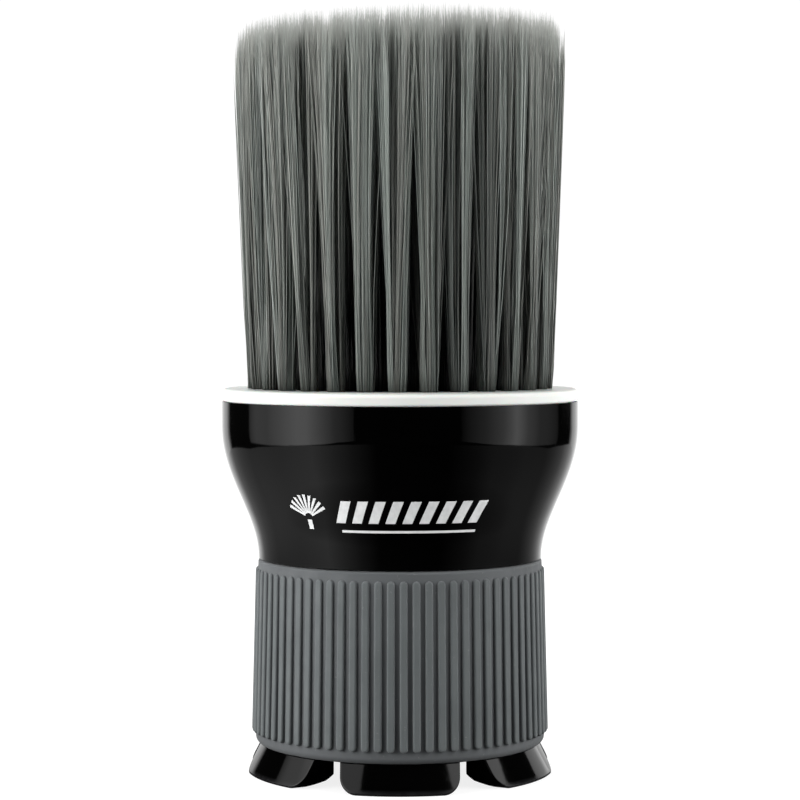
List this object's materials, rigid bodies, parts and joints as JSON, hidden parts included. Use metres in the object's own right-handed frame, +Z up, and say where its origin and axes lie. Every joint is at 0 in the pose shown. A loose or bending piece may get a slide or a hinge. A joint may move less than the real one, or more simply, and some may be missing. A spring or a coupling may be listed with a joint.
{
  "type": "neck duster brush",
  "caption": "Round barber's neck duster: soft grey bristle tufts in a white plate on a black bell body, with a ribbed rubber grip and a crown of flared feet to stand on.",
  "frame": {"origin": "centre of the plane of the six soles, on the brush's axis", "axes": "+Z up along the brush's axis from the soles to the bristle tips, -Y out of the middle of the front foot, +X to the right seen from the front"},
  "size_m": [0.07, 0.07, 0.145],
  "materials": {
    "black_body": "gloss",
    "black_base": "gloss",
    "grey_grip": "matte",
    "white_plate": "satin",
    "bristle": "satin",
    "anchor_wire": "satin",
    "screw_steel": "satin"
  },
  "bodies": {
    "root": {"foot_crown": "black_base", "body_shell": "black_body", "grip_sleeve": "grey_grip", "bristle_plate": "white_plate", "tuft_centre": "bristle", "tuft_ring_1": "bristle", "tuft_ring_2": "bristle", "tuft_ring_3": "bristle", "tuft_ring_4": "bristle", "tuft_ring_5": "bristle", "anchor_centre": "anchor_wire", "anchor_ring_1": "anchor_wire", "anchor_ring_2": "anchor_wire", "anchor_ring_3": "anchor_wire", "anchor_ring_4": "anchor_wire", "anchor_ring_5": "anchor_wire", "plate_screws": "screw_steel", "crown_screws": "screw_steel"}
  },
  "joints": []
}
